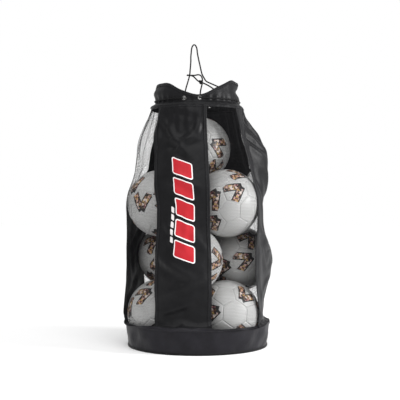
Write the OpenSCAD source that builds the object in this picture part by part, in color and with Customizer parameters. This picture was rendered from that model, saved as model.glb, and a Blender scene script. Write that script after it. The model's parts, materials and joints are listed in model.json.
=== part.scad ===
// Ball bag: a tall drawcord bag of nylon panels and net windows, standing full of footballs.
// Millimetres. +Z is up, the origin is on the floor under the middle of the base, and the
// front panel faces -Y. Angles are counted from the front (-Y) towards +X.

/* [Balls] */
// Diameter of a ball
ball_d = 217; // [180:1:262]
// Thickness of a ball's wall: cover, lining and bladder together
ball_wall = 3; // [2:0.5:6]
// Gap between two balls, and between the lowest balls and the base
ball_gap = 0.6; // [0.4:0.1:2]
// How far one ball of the second layer has rolled out against the side
ball_roll = 18; // [0:1:24]
// Diameter of a ball's valve
valve_d = 8; // [6:0.5:12]
// Gap all round a valve in its hole
valve_gap = 0.05; // [0.02:0.01:0.2]

/* [Cloth] */
// Thickness of the nylon and of the net, with their seams
cloth_t = 1; // [0.8:0.1:1.6]
// Room between a ball and the inside of the bag where the bag is widest
bag_room = 4; // [3:0.5:10]
// How far the cloth pulls in between one ball and the next
pull_in = 14; // [8:1:18]
// Width of each nylon panel, as an angle at the bag's axis
panel_turn = 46; // [30:1:60]
// How far the side panel is folded outwards below the collar
fold_out = 58; // [0:1:72]
// Height of the fold's tip below the collar's seam
fold_drop = 137; // [110:1:170]
// How far the left panel's front seam swings round towards the collar, as an angle
seam_swing = 41; // [0:1:45]

/* [Base] */
// Thickness of the round base panel
base_t = 1.2; // [1:0.1:3]
// Height of the band round the base
band_h = 78; // [60:1:100]
// How much smaller the base is than the top of the band, on the radius
band_lean = 9; // [0:1:12]
// Height of the binding round the bottom edge
binding_h = 8; // [5:1:14]
// Thickness of that binding
binding_t = 2; // [1.2:0.1:4]

/* [Collar] */
// Height from the top of the highest ball to the collar's seam
crown_gap = 26; // [10:1:60]
// Height of the collar at the front
collar_h = 30; // [26:1:50]
// How much higher the collar's two ears stand than its front
ear_rise = 54; // [20:1:70]
// Turn of the two ears away from the side panels
ear_turn = 13; // [0:1:20]
// Room between a ball and the collar where the drawcord gathers it
mouth_room = 27.5; // [24:0.5:40]
// How much wider the collar is at its seam than at the drawcord, on the radius
collar_flare = 12; // [6:1:24]
// How much the ears lean in above the drawcord, on the radius
ear_lean = 8; // [0:1:10]

/* [Eyelets and cord] */
// Diameter of the hole through an eyelet
eyelet_d = 8; // [7:0.5:9]
// Thickness of the eyelet's metal
eyelet_t = 0.8; // [0.5:0.1:1]
// Width of the eyelet's flange and of its washer
flange_w = 2.4; // [1.6:0.1:2.6]
// Height of the eyelets above the collar's seam
eyelet_up = 20; // [18:1:22]
// Gap between an eyelet's barrel and the hole in the cloth
eyelet_gap = 0.1; // [0.05:0.05:0.3]
// Angle between the two eyelets of one panel
pair_turn = 21; // [16:1:26]
// Turn of the eyelet pairs away from the middle of their panels
pair_shift = 5.5; // [0:0.5:8]
// Diameter of the drawcord
cord_d = 4.5; // [3:0.5:5]
// How much thinner the drawcord is pulled where it turns through an eyelet, on the radius
cord_squeeze = 0.2; // [0.1:0.05:0.4]
// Gap between the drawcord and what it lies against
cord_gap = 0.2; // [0.1:0.1:0.5]
// Diameter of the knot in the drawcord
knot_d = 13; // [10:1:16]

/* [Hidden] */

$fn = 96;

// The balls lie in three layers of three, each turned half a step, with one more on top.
ball_r = ball_d / 2;
pitch = ball_d + ball_gap;
ring_r = pitch / sqrt(3);
rise = sqrt(pitch * pitch - ring_r * ring_r);
z_1 = base_t + ball_gap + ball_r;
z_2 = z_1 + rise;
z_3 = z_2 + rise;
z_top = z_3 + rise;
rolled_r = ring_r + ball_roll;
// Two balls a sixth of a turn apart, one of them rolled out, decide how far that one sinks.
rolled_reach = sqrt(rolled_r * rolled_r + ring_r * ring_r - rolled_r * ring_r);
z_rolled = z_1 + sqrt(pitch * pitch - rolled_reach * rolled_reach);
BALLS = [
    at(-60, ring_r, z_1), at(60, ring_r, z_1), at(180, ring_r, z_1),
    at(0, ring_r, z_2), at(120, rolled_r, z_rolled), at(-120, ring_r, z_2),
    at(-60, ring_r, z_3), at(60, ring_r, z_3), at(180, ring_r, z_3),
    [0, 0, z_top]
];
// How each ball happens to lie: a tilt about X, then a turn about Z.
BALL_TURNS = [
    [40, 0, 25], [-30, 0, 80], [65, 0, 140], [20, 0, 200], [-55, 0, 10],
    [35, 0, 300], [80, 0, 60], [-20, 0, 330], [50, 0, 110], [15, 0, 250]
];
valve_depth = ball_wall + 1;

// Radii of the skin are those of its outer face.
body_r = ring_r + ball_r + bag_room + cloth_t;
band_r = body_r - 3;
base_r = band_r - band_lean;
foot_h = binding_h + 2;
cord_line_r = ball_r + mouth_room + 2 * cloth_t;
throat_r = cord_line_r + collar_flare;
rim_r = cord_line_r - ear_lean;
seam_z = z_top + ball_r + crown_gap;
rim_z = seam_z + collar_h;
eyelet_z = seam_z + eyelet_up;
cone_z = z_3 + 35;
fold_z = seam_z - fold_drop;
fold_foot_z = z_3 - 15;
fold_angle = 100;
fold_spread = 18;
roll_spread = 30;

// Each piece of cloth is a grid of this many steps round and up.
cols = 6;
rows = 16;

eyelet_r = eyelet_d / 2;
barrel_r = eyelet_r + eyelet_t;
flange_r = barrel_r + flange_w;
collar_in_r = cord_line_r - 2 * cloth_t;
washer_seat = sqrt(collar_in_r * collar_in_r - flange_r * flange_r);
EYELET_ANGLES = [
    for (side = [0:3]) for (half = [-1, 1]) pair_shift + 90 * side + half * pair_turn / 2
];
cord_r = cord_d / 2;
cord_out_r = cord_line_r + eyelet_t + cord_gap + cord_r;
cord_in_r = washer_seat - eyelet_t - cord_gap - cord_r;
cord_end_r = 133.6;

// The loop that the bag hangs by: from the front left eyelet up, over and down to the right
// of the mouth, then round the inside of the collar to its eyelet.
LOOP_ROUTE = [
    [-11, -131, 798], [-11, -127, 799], [-11, -125, 803], [-11, -125, 810], [-11, -126, 818],
    [-8, -125, 832], [-4, -124, 846], [0, -123, 860], [3, -122, 874], [4, -121, 888],
    [5, -120, 902], [6, -120, 916], [6, -120, 930], [7, -119, 943], [8, -119, 953],
    [10, -119, 961], [14, -118, 967], [19, -117, 967], [23, -116, 961], [25, -115, 953],
    [26, -115, 943],
    [28, -114, 931], [31, -114, 917], [34, -113, 903], [37, -112, 889], [40, -111, 876],
    [46, -110, 864], [53, -108, 853], [62, -104, 848], [71, -99, 844], [80, -93, 840],
    [89, -87, 836], [98, -79, 830], [107, -69, 822], [115, -58, 814], [121, -46, 807],
    [125, -34, 802], [127, -23, 799], [128, -15, 798], [131, -11, 798]
];
// The cord that ties the loop: from the front right eyelet up and left, once round the loop's
// left strand, back through the knot, then round the inside of the collar to its eyelet.
TIE_ROUTE = [
    [36, -126, 798], [35, -121, 799], [34, -118, 804], [36, -118, 812], [37, -117, 822],
    [39, -115, 833], [41, -112, 845], [41, -109, 856], [39, -106, 865], [34, -106, 872],
    [26, -108, 874], [17, -111, 872], [7, -113, 872], [1, -115, 872], [-4, -118, 872],
    [-5, -123, 871], [-2, -128, 871], [4, -129, 870], [10, -126, 869], [16, -123, 866], [22, -121, 860],
    [28, -120, 854], [36, -120, 849], [45, -118, 846], [54, -114, 842], [63, -108, 837],
    [73, -101, 830], [83, -94, 822], [93, -85, 814], [103, -75, 805], [112, -63, 797],
    [119, -50, 791], [124, -37, 787], [128, -24, 785], [131, -10, 785], [132, 4, 786],
    [131, 16, 789], [129, 26, 793], [126, 33, 797], [126, 36, 798]
];
KNOT_AT = [37, -114, 850];

// A point at an angle from the front, a radius from the axis and a height.
function at(angle, radius, height) = [radius * sin(angle), -radius * cos(angle), height];
function clamp01(value) = min(1, max(0, value));
function bell(value, spread) = exp(-pow(value / spread, 2));

// +1 where a ball pushes the cloth out, -1 midway between balls.
function ball_wave(angle, z) = -cos(3 * angle) * cos(180 * (z - z_1) / rise);
// The cloth hangs straight over the hollows on the left and is drawn into them on the right.
function hollow_depth(angle) = 0.5 + 0.5 * sin(angle);
function lobed_r(angle, z) =
    let (wave = ball_wave(angle, z))
    body_r - pull_in * (1 - wave * (wave > 0 ? 1 : hollow_depth(angle)));
function roll_out(angle, z) =
    ball_roll * bell(angle - 120, roll_spread) * bell(z - z_rolled, 0.75 * ball_r);
function fold_rise(z) =
    z < fold_z ? clamp01((z - fold_foot_z) / (fold_z - fold_foot_z))
               : clamp01((seam_z - z) / (seam_z - fold_z));
function skin_r(angle, z) =
    let (foot = clamp01((z - band_h) / (z_1 - band_h)),
         cone = clamp01((z - cone_z) / (seam_z - cone_z)),
         body = (1 - foot) * band_r + foot * lobed_r(angle, z))
    (1 - cone) * body + cone * throat_r + roll_out(angle, z)
        + fold_out * fold_rise(z) * bell(angle - fold_angle, fold_spread);

// Where a seam or a thread that starts at an angle has got to at a height: towards the collar
// the front panel, the net on its left and the rear panel keep their width and crowd the rest.
SWING = [[-157, 0], [-113, 0.66], [-67, 1], [-23, 0.41], [23, 0], [113, 0], [157, 0.66], [203, 0]];
SWING_RATE = [[-157, 1], [-113, 2], [-67, 2], [-23, 1], [23, 1], [113, 1], [157, 2], [203, 1]];
function swung(angle, z) = angle - seam_swing * lookup(angle, SWING)
    * clamp01(lookup(angle, SWING_RATE) * (z - z_3) / (0.75 * (seam_z - z_3)));

// Two triangles for each cell, so that no face is a bent quadrilateral.
function two(a, b, c, d) = [[a, b, c], [a, c, d]];
function flatten(lists) = [for (list = lists) for (item = list) item];

// One piece of the bag's side between two angles, from the band up to the collar's seam.
module side_cloth(from, to) {
    width = cols + 1;
    layer = width * (rows + 1);
    points = [
        for (side = [0, 1]) for (j = [0:rows]) for (i = [0:cols])
            let (z = band_h + (seam_z - band_h) * j / rows,
                 angle = swung(from + (to - from) * i / cols, z))
            at(angle, skin_r(angle, z) - side * cloth_t, z)
    ];
    outer = [for (j = [0:rows - 1]) for (i = [0:cols - 1]) let (p = j * width + i)
        two(p, p + width, p + width + 1, p + 1)];
    inner = [for (j = [0:rows - 1]) for (i = [0:cols - 1]) let (p = layer + j * width + i)
        two(p, p + 1, p + width + 1, p + width)];
    bottom = [for (i = [0:cols - 1]) two(i, i + 1, layer + i + 1, layer + i)];
    top = [for (i = [0:cols - 1]) let (p = rows * width + i)
        two(p + 1, p, layer + p, layer + p + 1)];
    start = [for (j = [0:rows - 1]) let (p = j * width)
        two(p + width, p, layer + p, layer + p + width)];
    end = [for (j = [0:rows - 1]) let (p = j * width + cols)
        two(p, p + width, layer + p + width, layer + p)];
    polyhedron(points, flatten(concat(outer, inner, bottom, top, start, end)), convexity = 6);
}

module nylon_panel(middle) {
    color("#212123") side_cloth(middle - panel_turn / 2, middle + panel_turn / 2);
}
module net_window(middle) {
    color("#55565a") side_cloth(middle - 45 + panel_turn / 2, middle + 45 - panel_turn / 2);
}

module base_panel() {
    color("#232326") cylinder(h = base_t, r = base_r - cloth_t);
}
module base_band() {
    color("#2d2c31") rotate_extrude() polygon([
        [base_r - cloth_t, 0], [base_r, 0], [base_r, foot_h], [band_r, band_h],
        [band_r - cloth_t, band_h], [base_r - cloth_t, foot_h]
    ]);
}
module base_binding() {
    color("#19191b") rotate_extrude() translate([base_r, 0]) square([binding_t, binding_h]);
}

// One layer of the collar: its wall follows the gather at the drawcord, and a round cut
// across it leaves the mouth low at the front and back, with an ear on each side.
module collar_layer(depth) {
    cut_r = (rim_r * rim_r + ear_rise * ear_rise) / (2 * ear_rise);
    top_z = rim_z + ear_rise;
    lower_z = eyelet_z - flange_r - 1;
    upper_z = eyelet_z + flange_r + 1;
    difference() {
        rotate_extrude() translate([-depth, 0]) polygon([
            [throat_r, seam_z], [cord_line_r, lower_z], [cord_line_r, upper_z], [rim_r, top_z],
            [rim_r - cloth_t, top_z], [cord_line_r - cloth_t, upper_z],
            [cord_line_r - cloth_t, lower_z], [throat_r - cloth_t, seam_z]
        ]);
        rotate([0, 0, ear_turn]) translate([0, 0, rim_z + cut_r]) rotate([90, 0, 0])
            cylinder(h = 4 * throat_r, r = cut_r, center = true, $fn = 180);
        each_eyelet() translate([0, 0, -4 * cloth_t])
            cylinder(h = 8 * cloth_t, r = barrel_r + eyelet_gap);
    }
}
// Moves its children to each eyelet, with +Z outwards and 0 at the collar's outer face.
module each_eyelet() {
    for (angle = EYELET_ANGLES)
        translate(at(angle, cord_line_r, eyelet_z)) rotate([90, 0, angle]) children();
}
module collar() {
    color("#1d1d1f") collar_layer(0);
}
module collar_facing() {
    color("#151516") collar_layer(cloth_t);
}
module eyelets() {
    reach = cord_line_r - washer_seat + eyelet_t;
    color("silver") each_eyelet() difference() {
        union() {
            cylinder(h = eyelet_t, r = flange_r);
            translate([0, 0, -reach]) cylinder(h = reach + eyelet_t / 2, r = barrel_r);
        }
        translate([0, 0, -reach - 1]) cylinder(h = reach + eyelet_t + 2, r = eyelet_r);
    }
}
module eyelet_washers() {
    color("gray") each_eyelet() translate([0, 0, washer_seat - cord_line_r - eyelet_t])
        difference() {
            cylinder(h = eyelet_t, r = flange_r);
            translate([0, 0, -1]) cylinder(h = eyelet_t + 2, r = barrel_r);
        }
}

// A stretch of drawcord round the collar at one radius, between two angles.
module cord_arc(from, to, radius) {
    translate([0, 0, eyelet_z]) rotate([0, 0, from - 90]) rotate_extrude(angle = to - from)
        translate([radius, 0]) circle(r = cord_r, $fn = 32);
}
// The short stretch in through an eyelet, where the cord is pulled a little thinner.
module cord_through(angle, inner_r) {
    translate(at(angle, cord_out_r, eyelet_z)) rotate([90, 0, angle])
        translate([0, 0, inner_r - cord_out_r])
            cylinder(h = cord_out_r - inner_r, r = cord_r - cord_squeeze);
}
// The drawcord outside the collar, from one eyelet to the next panel's, and in at both ends.
module outside_cord(from, to, from_inner_r, to_inner_r) {
    over = asin(cord_r / cord_out_r);
    color("#101010") union() {
        cord_through(from, from_inner_r);
        cord_arc(from - over, to + over, cord_out_r);
        cord_through(to, to_inner_r);
    }
}
module cord_front_right() {
    outside_cord(EYELET_ANGLES[1], EYELET_ANGLES[2], cord_end_r, cord_end_r);
}
module cord_rear_right() {
    outside_cord(EYELET_ANGLES[3], EYELET_ANGLES[4], cord_end_r, cord_in_r + cord_r);
}
module cord_rear_left() {
    outside_cord(EYELET_ANGLES[5], EYELET_ANGLES[6], cord_in_r + cord_r, cord_in_r + cord_r);
}
module cord_front_left() {
    outside_cord(EYELET_ANGLES[7], 360 + EYELET_ANGLES[0], cord_in_r + cord_r, cord_end_r);
}
// Inside the collar the cord runs between the two eyelets of the rear and of the left panel.
module cord_inside() {
    over = asin(cord_r / cord_in_r);
    color("#101010") for (i = [4, 6])
        cord_arc(EYELET_ANGLES[i] - over, EYELET_ANGLES[i + 1] + over, cord_in_r);
}

function unit(v) = v / norm(v);
// Direction of a route at each of its points.
function headings(route) = [
    for (i = [0:len(route) - 1])
        unit(route[min(i + 1, len(route) - 1)] - route[max(i - 1, 0)])
];
// A side vector for each ring, carried along the route so that the tube isn't twisted.
function sides(along, side, i = 0) =
    i == len(along) ? [] :
    let (next = unit(side - (side * along[i]) * along[i])) concat([next], sides(along, next, i + 1));
// A round tube along a route, one ring at each point.
module cord_tube(route) {
    facets = 8;
    along = headings(route);
    across = sides(along, [0, 0, 1]);
    last = len(route) - 1;
    points = [
        for (i = [0:last]) for (k = [0:facets - 1])
            let (other = cross(along[i], across[i]), turn = 360 * k / facets)
            route[i] + cord_r * (cos(turn) * across[i] + sin(turn) * other)
    ];
    wall = [for (i = [0:last - 1]) for (k = [0:facets - 1])
        let (p = i * facets, q = (k + 1) % facets)
        two(p + k, p + facets + k, p + facets + q, p + q)];
    caps = [[for (k = [0:facets - 1]) k], [for (k = [facets - 1:-1:0]) last * facets + k]];
    polyhedron(points, concat(flatten(wall), caps), convexity = 8);
}
module hang_loop() {
    color("#141414") cord_tube(LOOP_ROUTE);
}
module tie_cord() {
    color("#141414") cord_tube(TIE_ROUTE);
}
module cord_knot() {
    color("#0c0c0c") translate(KNOT_AT) sphere(r = knot_d / 2);
}

// Puts its children at a ball's centre, turned as that ball lies, with the valve along +Z.
module at_ball(i) {
    translate(BALLS[i]) rotate([0, 0, BALL_TURNS[i][2]]) rotate([BALL_TURNS[i][0], 0, 0]) children();
}
module ball(i) {
    color("white") at_ball(i) difference() {
        sphere(r = ball_r);
        sphere(r = ball_r - ball_wall);
        translate([0, 0, ball_r - valve_depth - 1])
            cylinder(h = valve_depth + 2, r = valve_d / 2 + valve_gap);
    }
}
module valve(i) {
    color("dimgray") at_ball(i) difference() {
        translate([0, 0, ball_r - valve_depth]) cylinder(h = valve_depth - 0.2, r = valve_d / 2);
        translate([0, 0, ball_r - 1.2]) cylinder(h = 2, r = valve_d / 8);
    }
}

base_panel();
base_band();
base_binding();
nylon_panel(0);  // front_panel
nylon_panel(90);  // right_panel
nylon_panel(180);  // rear_panel
nylon_panel(-90);  // left_panel
net_window(45);  // front_right_net
net_window(135);  // rear_right_net
net_window(-135);  // rear_left_net
net_window(-45);  // front_left_net
collar();
collar_facing();
eyelets();
eyelet_washers();
cord_front_right();
cord_rear_right();
cord_rear_left();
cord_front_left();
cord_inside();
hang_loop();
tie_cord();
cord_knot();
ball(0);  // ball_01
ball(1);  // ball_02
ball(2);  // ball_03
ball(3);  // ball_04
ball(4);  // ball_05
ball(5);  // ball_06
ball(6);  // ball_07
ball(7);  // ball_08
ball(8);  // ball_09
ball(9);  // ball_10
valve(0);  // valve_01
valve(1);  // valve_02
valve(2);  // valve_03
valve(3);  // valve_04
valve(4);  // valve_05
valve(5);  // valve_06
valve(6);  // valve_07
valve(7);  // valve_08
valve(8);  // valve_09
valve(9);  // valve_10
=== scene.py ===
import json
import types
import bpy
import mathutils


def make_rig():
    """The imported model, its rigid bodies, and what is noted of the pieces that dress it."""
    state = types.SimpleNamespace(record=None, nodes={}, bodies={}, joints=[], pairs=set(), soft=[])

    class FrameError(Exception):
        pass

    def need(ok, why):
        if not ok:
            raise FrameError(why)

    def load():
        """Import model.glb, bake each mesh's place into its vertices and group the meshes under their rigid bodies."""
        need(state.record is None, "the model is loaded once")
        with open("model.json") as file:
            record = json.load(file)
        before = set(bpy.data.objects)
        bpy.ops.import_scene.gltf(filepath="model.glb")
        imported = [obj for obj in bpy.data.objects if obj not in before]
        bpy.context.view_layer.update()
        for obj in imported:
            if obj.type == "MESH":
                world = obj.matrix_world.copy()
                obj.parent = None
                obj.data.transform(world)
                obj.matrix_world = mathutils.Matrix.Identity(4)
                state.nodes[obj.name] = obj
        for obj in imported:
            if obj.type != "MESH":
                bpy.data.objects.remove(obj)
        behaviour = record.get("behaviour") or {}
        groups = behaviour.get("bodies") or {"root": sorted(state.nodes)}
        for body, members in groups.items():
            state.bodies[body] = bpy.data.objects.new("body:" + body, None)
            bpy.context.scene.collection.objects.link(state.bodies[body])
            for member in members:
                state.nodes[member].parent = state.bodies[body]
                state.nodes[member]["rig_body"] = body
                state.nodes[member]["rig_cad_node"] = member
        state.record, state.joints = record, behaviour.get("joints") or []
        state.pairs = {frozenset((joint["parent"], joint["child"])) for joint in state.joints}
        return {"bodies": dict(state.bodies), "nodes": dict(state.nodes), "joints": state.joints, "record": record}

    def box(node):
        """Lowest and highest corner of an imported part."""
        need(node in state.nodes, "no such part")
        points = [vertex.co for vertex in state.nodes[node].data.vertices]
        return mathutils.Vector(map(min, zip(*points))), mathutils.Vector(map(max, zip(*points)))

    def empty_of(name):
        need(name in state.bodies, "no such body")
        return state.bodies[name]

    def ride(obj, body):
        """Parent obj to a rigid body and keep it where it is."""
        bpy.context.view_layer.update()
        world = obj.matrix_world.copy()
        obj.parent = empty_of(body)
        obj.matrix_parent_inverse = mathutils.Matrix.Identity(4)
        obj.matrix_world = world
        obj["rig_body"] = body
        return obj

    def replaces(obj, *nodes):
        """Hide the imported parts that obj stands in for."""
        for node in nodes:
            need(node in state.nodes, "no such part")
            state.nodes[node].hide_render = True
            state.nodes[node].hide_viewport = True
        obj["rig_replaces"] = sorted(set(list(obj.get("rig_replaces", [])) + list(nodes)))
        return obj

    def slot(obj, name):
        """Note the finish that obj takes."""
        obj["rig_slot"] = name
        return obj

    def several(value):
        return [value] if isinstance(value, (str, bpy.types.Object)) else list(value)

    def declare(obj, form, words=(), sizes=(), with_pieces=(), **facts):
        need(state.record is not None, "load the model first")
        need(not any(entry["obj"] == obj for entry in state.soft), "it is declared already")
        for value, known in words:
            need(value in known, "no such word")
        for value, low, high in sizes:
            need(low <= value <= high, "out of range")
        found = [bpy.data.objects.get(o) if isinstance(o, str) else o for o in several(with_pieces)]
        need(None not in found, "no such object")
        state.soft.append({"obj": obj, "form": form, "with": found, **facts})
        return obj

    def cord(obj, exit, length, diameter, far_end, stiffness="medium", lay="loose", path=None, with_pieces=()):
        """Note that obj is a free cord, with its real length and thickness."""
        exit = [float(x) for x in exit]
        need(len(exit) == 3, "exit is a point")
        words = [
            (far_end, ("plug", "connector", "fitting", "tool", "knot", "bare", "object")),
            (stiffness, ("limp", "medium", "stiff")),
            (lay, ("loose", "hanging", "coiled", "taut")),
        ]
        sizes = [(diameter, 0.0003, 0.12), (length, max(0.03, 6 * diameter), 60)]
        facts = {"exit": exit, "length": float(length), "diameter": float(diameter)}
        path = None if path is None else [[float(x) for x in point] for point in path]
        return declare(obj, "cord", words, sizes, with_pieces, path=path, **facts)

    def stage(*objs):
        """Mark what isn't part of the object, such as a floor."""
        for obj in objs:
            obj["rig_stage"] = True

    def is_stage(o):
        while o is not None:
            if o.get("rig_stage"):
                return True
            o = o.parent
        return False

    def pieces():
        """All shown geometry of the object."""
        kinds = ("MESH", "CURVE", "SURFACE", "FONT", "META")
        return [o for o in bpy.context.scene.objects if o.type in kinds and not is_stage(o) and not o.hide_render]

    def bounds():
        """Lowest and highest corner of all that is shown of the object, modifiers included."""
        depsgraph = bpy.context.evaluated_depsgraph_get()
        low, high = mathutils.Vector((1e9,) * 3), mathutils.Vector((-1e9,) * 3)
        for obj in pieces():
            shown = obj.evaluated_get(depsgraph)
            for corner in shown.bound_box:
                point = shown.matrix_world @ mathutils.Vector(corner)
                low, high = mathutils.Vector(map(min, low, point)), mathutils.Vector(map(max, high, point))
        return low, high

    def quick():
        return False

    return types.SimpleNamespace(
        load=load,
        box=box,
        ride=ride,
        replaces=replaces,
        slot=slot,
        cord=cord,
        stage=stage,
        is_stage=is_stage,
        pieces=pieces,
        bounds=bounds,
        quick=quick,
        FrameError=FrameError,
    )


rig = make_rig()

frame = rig.load()

import json
import math

import bpy
import numpy as np
from mathutils import Matrix, Vector, noise
from mathutils.bvhtree import BVHTree

cad_bounds = [list(corner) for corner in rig.bounds()]

MM = 0.001
BODY = "bag"

# Angles are counted from the front (-Y) towards +X, as in the CAD model.
PANEL_TURN = 46
PANELS = {"front_panel": 0, "right_panel": 90, "rear_panel": 180, "left_panel": -90}
NETS = {"front_right_net": 45, "rear_right_net": 135, "rear_left_net": -135, "front_left_net": -45}
BALLS = ["ball_%02d" % number for number in range(1, 11)]
BALL_TURNS = [
    (40, 25), (-30, 80), (65, 140), (20, 200), (-55, 10),
    (35, 300), (80, 60), (-20, 330), (50, 110), (15, 250),
]
EYELETS = [-5, 16, 85, 106, 175, 196, 265, 286]
EYELET_R = 4 * MM
CORD_D = 4.5 * MM

# The drawcord's route over the mouth, the same points as in the CAD model, in millimetres.
LOOP_ROUTE = [
    [-11, -131, 798], [-11, -127, 799], [-11, -125, 803], [-11, -125, 810], [-11, -126, 818],
    [-8, -125, 832], [-4, -124, 846], [0, -123, 860], [3, -122, 874], [4, -121, 888],
    [5, -120, 902], [6, -120, 916], [6, -120, 930], [7, -119, 943], [8, -119, 953],
    [10, -119, 961], [14, -118, 967], [19, -117, 967], [23, -116, 961], [25, -115, 953],
    [26, -115, 943], [28, -114, 931], [31, -114, 917], [34, -113, 903], [37, -112, 889],
    [40, -111, 876], [46, -110, 864], [53, -108, 853], [62, -104, 848], [71, -99, 844],
    [80, -93, 840], [89, -87, 836], [98, -79, 830], [107, -69, 822], [115, -58, 814],
    [121, -46, 807], [125, -34, 802], [127, -23, 799], [128, -15, 798], [131, -11, 798],
]
TIE_ROUTE = [
    [36, -126, 798], [35, -121, 799], [34, -118, 804], [36, -118, 812], [37, -117, 822],
    [39, -115, 833], [41, -112, 845], [41, -109, 856], [39, -106, 865], [34, -106, 872],
    [26, -108, 874], [17, -111, 872], [7, -113, 872], [1, -115, 872], [-4, -118, 872],
    [-5, -123, 871], [-2, -128, 871], [4, -129, 870], [10, -126, 869], [16, -123, 866],
    [22, -121, 860], [28, -120, 854], [36, -120, 849], [45, -118, 846], [54, -114, 842],
    [63, -108, 837], [73, -101, 830], [83, -94, 822], [93, -85, 814], [103, -75, 805],
    [112, -63, 797], [119, -50, 791], [124, -37, 787], [128, -24, 785], [131, -10, 785],
    [132, 4, 786], [131, 16, 789], [129, 26, 793], [126, 33, 797], [126, 36, 798],
]


# ---------------------------------------------------------------- small helpers

def at(angle, radius, height):
    turned = math.radians(angle)
    return Vector((radius * math.sin(turned), -radius * math.cos(turned), height))


def around(angle, radius, height):
    """The same for whole arrays of angles, radii and heights."""
    turned = np.radians(angle)
    return np.stack([radius * np.sin(turned), -radius * np.cos(turned), height + 0 * turned], axis=-1)


def linear(hex_colour, alpha=1.0):
    """An sRGB hex colour as the linear values that Blender takes."""
    parts = [int(hex_colour[i:i + 2], 16) / 255 for i in (1, 3, 5)]
    return [p / 12.92 if p <= 0.04045 else ((p + 0.055) / 1.055) ** 2.4 for p in parts] + [alpha]


def bell(value, spread):
    return np.exp(-(value / spread) ** 2)


def coordinates(piece):
    points = np.zeros(len(piece.data.vertices) * 3)
    piece.data.vertices.foreach_get("co", points)
    return points.reshape(-1, 3)


def move_points(piece, points):
    piece.data.vertices.foreach_set("co", np.asarray(points, float).ravel())
    piece.data.update()


def new_piece(name, points, faces):
    mesh = bpy.data.meshes.new(name)
    mesh.from_pydata([tuple(p) for p in points], [], [tuple(f) for f in faces])
    mesh.update()
    piece = bpy.data.objects.new(name, mesh)
    bpy.context.scene.collection.objects.link(piece)
    return piece


def deselect():
    bpy.ops.object.select_all(action="DESELECT")


def only(piece):
    """Makes piece the one selected, active object."""
    deselect()
    piece.select_set(True)
    bpy.context.view_layer.objects.active = piece


def apply_modifier(piece, kind, **settings):
    only(piece)
    bpy.ops.object.modifier_add(type=kind)
    modifier = piece.modifiers[-1]
    for key, value in settings.items():
        setattr(modifier, key, value)
    bpy.ops.object.modifier_apply(modifier=modifier.name)


def edit(piece, *steps):
    """Runs edit-mode operators, each given with its settings, on all of the piece."""
    only(piece)
    bpy.ops.object.mode_set(mode="EDIT")
    bpy.ops.mesh.select_all(action="SELECT")
    for operator, settings in steps:
        operator(**settings)
    bpy.ops.object.mode_set(mode="OBJECT")


def join(pieces, name):
    deselect()
    for piece in pieces:
        piece.select_set(True)
    bpy.context.view_layer.objects.active = pieces[0]
    bpy.ops.object.join()
    pieces[0].name = name
    return pieces[0]


def copy_of(pattern, name, place=None):
    """A copy of a modelled piece with its own mesh, moved by a matrix if one is given."""
    piece = pattern.copy()
    piece.data = pattern.data.copy()
    piece.name = name
    if place is not None:
        piece.data.transform(place)
    bpy.context.scene.collection.objects.link(piece)
    return piece


def sewn_ring(piece, thick, smooth=False, offset=0.0):
    """Joins the two ends of a strip of cloth and gives it its thickness in millimetres."""
    edit(piece, (bpy.ops.mesh.remove_doubles, dict(threshold=0.05 * MM)))
    if smooth:
        apply_modifier(piece, "SUBSURF", levels=1, render_levels=1)
    apply_modifier(piece, "SOLIDIFY", thickness=thick * MM, offset=offset)
    return piece


def ball_body(index):
    return "top_football" if index == 9 else "football_%02d" % (index + 1)


def apart(angle, other):
    """How far angle is from other, from -180 to 180 degrees."""
    return (angle - other + 180) % 360 - 180


def finish_piece(piece, material, body, slot, replaced=()):
    piece.data.materials.clear()
    piece.data.materials.append(material)
    if piece.type == "MESH":
        only(piece)
        bpy.ops.object.shade_smooth()
    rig.ride(piece, body)
    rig.slot(piece, slot)
    if replaced:
        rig.replaces(piece, *replaced)
    return piece


# ---------------------------------------------------------------- camera

EYE_HEIGHT = 0.476
EYE_DISTANCE = 3.0
EYE_TURN = 13
FRAME_WIDTH = 1.32        # what the picture spans at the bag's axis
SENSOR = 36.0


def make_camera():
    data = bpy.data.cameras.new("studio_camera")
    data.sensor_width = SENSOR
    data.lens = SENSOR * EYE_DISTANCE / FRAME_WIDTH
    data.shift_x = 2.5 / 400
    camera = bpy.data.objects.new("studio_camera", data)
    bpy.context.scene.collection.objects.link(camera)
    camera.location = at(EYE_TURN, EYE_DISTANCE, EYE_HEIGHT)
    camera.rotation_euler = (math.radians(90), 0, math.radians(EYE_TURN))
    bpy.context.scene.camera = camera


make_camera()


def add_node(tree, kind, links=(), **settings):
    """Adds a node, with its settings, and its inputs given as values or as sockets to link."""
    made = tree.nodes.new(kind)
    for key, value in settings.items():
        setattr(made, key, value)
    for key, value in dict(links).items():
        if isinstance(value, bpy.types.NodeSocket):
            tree.links.new(value, made.inputs[key])
        else:
            made.inputs[key].default_value = value
    return made


def new_material(name, **constants):
    """A material with its shader, and the constants set on the shader's own sockets."""
    material = bpy.data.materials.new(name)
    material.use_nodes = True
    tree = material.node_tree
    shader = tree.nodes["Principled BSDF"]
    for key, value in constants.items():
        shader.inputs[key.replace("_", " ")].default_value = value
    return material, tree, shader


def mottled(tree, scale, dark, light, **more):
    """Two colours mixed by noise on the piece's own coordinates. Gives the coordinates, noise and colour."""
    place = add_node(tree, "ShaderNodeTexCoord")
    spots = add_node(tree, "ShaderNodeTexNoise",
                     [("Vector", place.outputs["Object"]), ("Scale", scale), *more.items()])
    colour = add_node(tree, "ShaderNodeMix", [(0, spots.outputs[0]), (6, linear(dark)),
                                               (7, linear(light))], data_type="RGBA")
    return place.outputs["Object"], spots.outputs[0], colour.outputs[2]


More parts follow.
